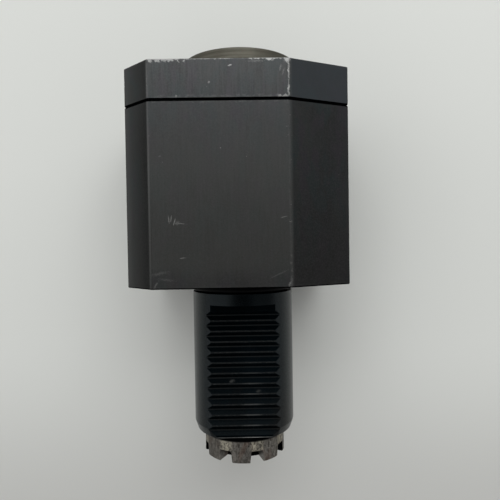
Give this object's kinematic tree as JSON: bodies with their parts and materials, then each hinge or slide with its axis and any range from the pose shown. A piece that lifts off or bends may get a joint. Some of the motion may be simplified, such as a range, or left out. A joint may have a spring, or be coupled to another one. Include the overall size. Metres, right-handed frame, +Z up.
{
  "type": "driven vdi tool holder",
  "caption": "Driven tool holder: octagonal housing on a toothed round shank, with a collet spindle turned by a clawed drive dog.",
  "frame": {"origin": "bottom centre of the bounding box, on the surface that the holder lies on", "axes": "+Z up from the back face it lies on to the toothed front, +Y along the spindle axis to the nose, the shank and drive dog towards -Y"},
  "size_m": [0.0812, 0.1548, 0.0731],
  "materials": {
    "black_oxide": "black oxide steel, satin",
    "cover_black": "black oxide steel, satin, edges chipped",
    "ground_steel": "ground bare steel",
    "worn_steel": "bare steel, stained",
    "bearing_steel": "polished bearing steel",
    "dark_steel": "dark oxide steel",
    "brass": "machined brass",
    "black_rubber": "black nitrile rubber",
    "brown_rubber": "brown fluorocarbon rubber"
  },
  "bodies": {
    "holder": {"housing": "black_oxide", "cover": "cover_black", "cover_screw_1": "dark_steel", "cover_screw_2": "dark_steel", "cover_screw_3": "dark_steel", "cover_screw_4": "dark_steel", "cover_screw_5": "dark_steel", "cover_screw_6": "dark_steel", "cover_dowel_1": "bearing_steel", "cover_dowel_2": "bearing_steel", "cover_seal_ring": "black_rubber", "coolant_seal_ring": "black_rubber", "coolant_nozzle": "brass", "shank_seal_ring": "black_rubber", "front_seal": "brown_rubber", "rear_seal": "brown_rubber", "front_bearing_1_outer_ring": "bearing_steel", "front_bearing_2_outer_ring": "bearing_steel", "rear_bearing_outer_ring": "bearing_steel", "outer_spacer": "ground_steel", "wave_spring": "bearing_steel", "needle_cup": "bearing_steel"},
    "spindle_unit": {"spindle": "ground_steel", "collet": "ground_steel", "collet_nut": "dark_steel", "drive_dog": "worn_steel", "dog_screw": "dark_steel", "front_bearing_1_inner_ring": "bearing_steel", "front_bearing_2_inner_ring": "bearing_steel", "rear_bearing_inner_ring": "bearing_steel", "inner_spacer": "ground_steel", "lock_nut": "dark_steel", "retaining_clip": "dark_steel"},
    "front_cages": {"front_bearing_1_ball_cage": "brass", "front_bearing_2_ball_cage": "brass"},
    "rear_cage": {"rear_bearing_ball_cage": "brass"},
    "needle_roller_cage": {"needle_cage": "bearing_steel"}
  },
  "joints": [
    {"name": "spindle_spin", "type": "hinge", "parent": "holder", "child": "spindle_unit", "pos_m": [0.00105, 0, 0.0415], "axis": [0, 1, 0], "continuous": true},
    {"name": "front_cages_spin", "type": "hinge", "parent": "holder", "child": "front_cages", "pos_m": [0.00105, 0.04, 0.0415], "axis": [0, 1, 0], "continuous": true},
    {"name": "rear_cage_spin", "type": "hinge", "parent": "holder", "child": "rear_cage", "pos_m": [0.00105, 0.005, 0.0415], "axis": [0, 1, 0], "continuous": true},
    {"name": "needle_cage_spin", "type": "hinge", "parent": "holder", "child": "needle_roller_cage", "pos_m": [0.00105, -0.0578, 0.0415], "axis": [0, 1, 0], "continuous": true}
  ],
  "couplings": [
    {"joint": "front_cages_spin", "follows": "spindle_spin", "ratio": 0.42},
    {"joint": "rear_cage_spin", "follows": "spindle_spin", "ratio": 0.4},
    {"joint": "needle_cage_spin", "follows": "spindle_spin", "ratio": 0.46}
  ]
}
